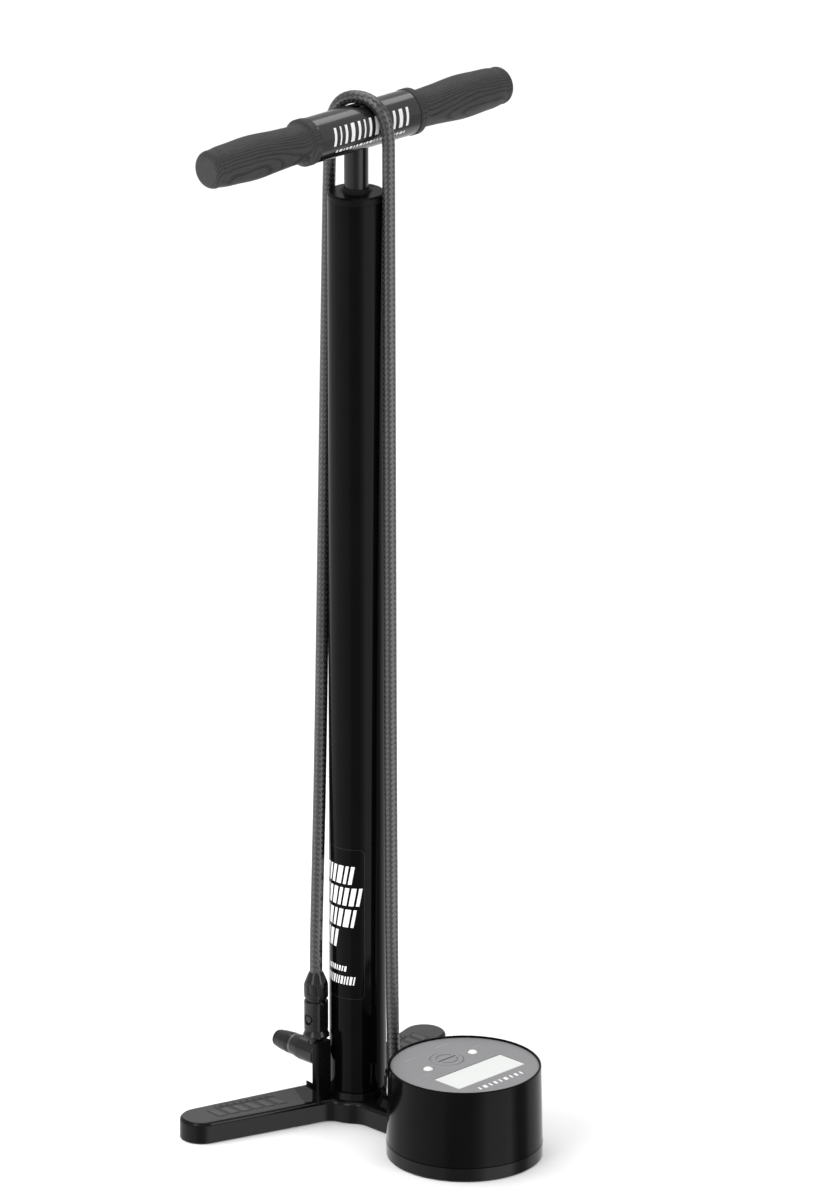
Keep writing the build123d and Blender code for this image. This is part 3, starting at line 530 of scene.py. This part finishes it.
barrel_rows = [(-17, 15.3, 160.5, 172.6, [2.4, 3.6, 2.0]), (-17, 17.6, 146.0, 158.0, [3.2, 2.2, 2.8]),
               (-17, 12.3, 131.5, 143.5, [2.0, 3.0, 3.8]), (-17, 3.3, 117.0, 129.0, [3.4, 2.4])]
barrel_patches = []
for row in barrel_rows:
    barrel_patches += bars(*row, 1.5)
barrel_patches += bars(-9, 7, 101.4, 105.0, [0.9, 1.4], 0.9)
barrel_patches += bars(-12, 12.5, 92.6, 98.2, [1.0, 1.6, 0.9], 0.9)
print_marks("barrel_bars", barrel_patches, on_barrel, print_white, "base")


def outline_patches(left, right, low, high, corner, line):
    """A thin rounded rectangle made of straight patches."""
    points = []
    for centre_x, centre_y, start in ((right - corner, high - corner, 0),
                                      (left + corner, high - corner, 90),
                                      (left + corner, low + corner, 180),
                                      (right - corner, low + corner, 270)):
        for step in range(7):
            turn = radians(start + step * 15)
            points.append((centre_x, centre_y, cos(turn), sin(turn)))
    made = []
    for first, second in zip(points, points[1:] + points[:1]):
        inner = corner - line
        made.append([(first[0] + first[2] * inner, first[1] + first[3] * inner),
                     (first[0] + first[2] * corner, first[1] + first[3] * corner),
                     (second[0] + second[2] * corner, second[1] + second[3] * corner),
                     (second[0] + second[2] * inner, second[1] + second[3] * inner)])
    return made


outline = outline_patches(-20.5 * MM, 18.8 * MM, 83 * MM, 184 * MM, 4 * MM, 0.35 * MM)
print_marks("barrel_outline", outline, on_barrel, print_grey, "base")

tube_patches = bars(-33, 35, -2.5, 9.0, [2.0, 1.2, 2.0, 3.0], 3.1)
tube_patches += bars(-30, 31, -7.6, -5.8, [1.6, 2.4, 1.0], 1.2)
print_marks("handle_bars", tube_patches, on_tube, print_white, "rod_and_handle")


def on_face(across, up):
    return (GAUGE.x + across, GAUGE.y + up, GAUGE_TOP + PRINT_LIFT)


face_patches = bars(-20.5, 21.5, -34.6, -30.8, [1.3, 2.8, 1.3, 2.0], 2.7)
print_marks("face_bars", face_patches, on_face, print_white, "base")

face_notes = bars(-31, -25, 5.6, 6.7, [0.7, 1.1], 0.6)
face_notes += bars(25, 31, 17.0, 18.1, [0.7, 1.1], 0.6)
face_notes += bars(-22, -12, 30.6, 32.0, [0.7, 1.2, 0.9], 0.6)
face_notes += bars(8, 19, 33.0, 34.4, [0.9, 0.7, 1.2], 0.6)
print_marks("face_notes", face_notes, on_face, note_grey, "base")


def on_power(across, up):
    return (GAUGE.x + across, GAUGE.y + POWER_UP + up, GAUGE_TOP + POWER_PROUD + PRINT_LIFT)


half_long, half_thick = 7.6 * MM, 0.5 * MM
power_bar = [(-half_long, -half_thick), (half_long, -half_thick),
             (half_long, half_thick), (-half_long, half_thick)]
print_marks("power_bar", [power_bar], on_power, mark_dark, "power_key")


# ---------------------------------------------------------------- tread on the leg tops
LEG_ROOT = Vector((0.0, 0.0095))
LEG_TIP = Vector((0.099, 0.0397))
LEG_HEADING = (LEG_TIP - LEG_ROOT).normalized()


def on_leg(side, along, across, height):
    """A spot on a leg's top: along from the root, across towards +Y, height over the floor."""
    spot = LEG_ROOT + LEG_HEADING * along + Vector((-LEG_HEADING.y, LEG_HEADING.x)) * across
    return (side * spot.x, spot.y, height)


def tread_blocks():
    """A row of large slanted parallelograms and a row of small ones, as corner lists in (along, across)."""
    blocks = []
    for number in range(6):
        low = (47.0 + 8.4 * number) * MM
        blocks.append([(low, -7.0 * MM), (low + 5.4 * MM, -7.0 * MM), (low + 8.4 * MM, 4.0 * MM),
                       (low + 3.0 * MM, 4.0 * MM)])
    for number in range(9):
        low = (50.0 + 4.6 * number) * MM
        blocks.append([(low, 6.2 * MM), (low + 2.8 * MM, 6.2 * MM), (low + 3.4 * MM, 8.4 * MM),
                       (low + 0.6 * MM, 8.4 * MM)])
    return blocks


def grown(corners, by):
    """A parallelogram moved outwards on every side, or inwards where by is negative."""
    centre = Vector((sum(c[0] for c in corners) / 4, sum(c[1] for c in corners) / 4))
    made = []
    for corner in corners:
        out = Vector(corner) - centre
        made.append(centre + out + Vector((by if out.x > 0 else -by, by if out.y > 0 else -by)))
    return made


def tread(name, grow, low, high, top_grow, finish):
    """Raised or flat parallelograms on both legs as one piece."""
    verts, faces = [], []
    for side in (-1, 1):
        for corners in tread_blocks():
            start = len(verts)
            verts += [on_leg(side, p.x, p.y, low) for p in grown(corners, grow)]
            verts += [on_leg(side, p.x, p.y, high) for p in grown(corners, top_grow)]
            ring = [start, start + 1, start + 2, start + 3]
            loops = [ring[::-1], [index + 4 for index in ring]]
            loops += [[ring[i], ring[(i + 1) % 4], ring[(i + 1) % 4] + 4, ring[i] + 4] for i in range(4)]
            faces += [loop[::side] for loop in loops]
    piece = mesh_object(name, verts, faces, smooth=False)
    piece.data.materials.append(finish)
    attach(piece, "base")


# The leg tops are 14.5 mm over the floor.
# A flat dark sheet round the foot of each raised pad: painted shade of a groove, with no groove cut.
tread("leg_tread_groove_shade", 0.95 * MM, 14.49 * MM, 14.53 * MM, 0.95 * MM, mark_dark)
tread("leg_tread_pads", 0.0, 14.5 * MM, 14.8 * MM, -0.3 * MM, satin_grey)


# ---------------------------------------------------------------- lights, floor, backdrop
def area_light(name, spot, aim, size, power):
    data = bpy.data.lights.new(name, "AREA")
    data.shape = "RECTANGLE"
    data.size, data.size_y = size
    data.energy = power
    lamp = link(bpy.data.objects.new(name, data))
    lamp.location = spot
    lamp.rotation_euler = (Vector(aim) - Vector(spot)).to_track_quat("-Z", "Y").to_euler()
    return lamp


floor_mesh = bpy.data.meshes.new("floor")
grid = bmesh.new()
bmesh.ops.create_circle(grid, cap_ends=True, radius=14.0, segments=96)
grid.to_mesh(floor_mesh)
grid.free()
floor = link(bpy.data.objects.new("floor", floor_mesh))
floor_finish, floor_tree, floor_bsdf = new_material("floor_pale")
floor_where, _, _, _ = place(floor_tree)
floor_patches = noise(floor_tree, floor_where, 1.5)
floor_tone = blend_colour(floor_tree, floor_patches, (0.93, 0.93, 0.93), (0.95, 0.95, 0.95))
feed(floor_tree, floor_bsdf.inputs["Base Color"], floor_tone)
floor_bsdf.inputs["Roughness"].default_value = 0.9
floor_bsdf.inputs["Specular IOR Level"].default_value = 0.1
floor_mesh.materials.append(floor_finish)
floor.visible_glossy = False    # so that low glossy sides mirror the studio below, not the floor


def bump(tree, angle, rise, full, still_full, gone):
    """1 between full and still_full, falling smoothly to 0 at rise and gone."""
    up = spread(tree, angle, rise, full, 0.0, 1.0, True)
    return math(tree, "MULTIPLY", up, spread(tree, angle, still_full, gone, 1.0, 0.0, True))


world = bpy.data.worlds.new("studio")
world.use_nodes = True
studio = world.node_tree
heading = studio.nodes.new("ShaderNodeSeparateXYZ")
studio.links.new(studio.nodes.new("ShaderNodeTexCoord").outputs["Generated"], heading.inputs[0])
turn = math(studio, "ARCTAN2", heading.outputs[1], heading.outputs[0])
turn = math(studio, "MODULO", math(studio, "ADD", math(studio, "MULTIPLY", turn, 180 / pi), 360.0), 360.0)
# Below the horizon the gloss sees upright softboxes and dark gaps.
# Each has its strength and the headings, in degrees, where it starts, is full, is still full and ends.
SKY = 0.60
glow = 1.0
for strength, angles in ((-0.45, (190, 204, 232, 246)), (1.25, (244, 262, 296, 304)),
                         (-0.60, (303, 312, 326, 338)), (0.25, (110, 125, 150, 190))):
    glow = math(studio, "MULTIPLY_ADD", bump(studio, turn, *angles), strength, glow)
above = spread(studio, heading.outputs[2], -0.03, 0.03, 0.0, 1.0, True)
level = math(studio, "MULTIPLY_ADD", math(studio, "SUBTRACT", SKY, glow), above, glow)
background = studio.nodes["Background"]
background.inputs[0].default_value = (1.0, 1.0, 1.0, 1)
studio.links.new(level, background.inputs[1])
SCENE.world = world

area_light("key_left", (-3.0, -0.4, 2.2), (0, 0, 0.35), (1.2, 2.4), 30)
area_light("fill_right", (0.6, -3.2, 2.0), (0, 0, 0.3), (0.8, 2.2), 26)
area_light("top", (1.1, 1.1, 4.5), (0.5, 0.5, 0), (5.0, 5.0), 134)


# A weak softbox close to the object, seen by neither the camera nor the gloss.
NEAR_HEADING, NEAR_REACH, NEAR_HEIGHT = radians(145), 0.60, 0.42
near_spot = (NEAR_REACH * cos(NEAR_HEADING), NEAR_REACH * sin(NEAR_HEADING), NEAR_HEIGHT)
near_lamp = area_light("soft_left", near_spot, (0, 0, NEAR_HEIGHT), (0.85, 0.80), 5.0)
near_lamp.visible_camera = False
near_lamp.visible_glossy = False

SCENE.view_settings.view_transform = "Standard"
SCENE.view_settings.look = "None"
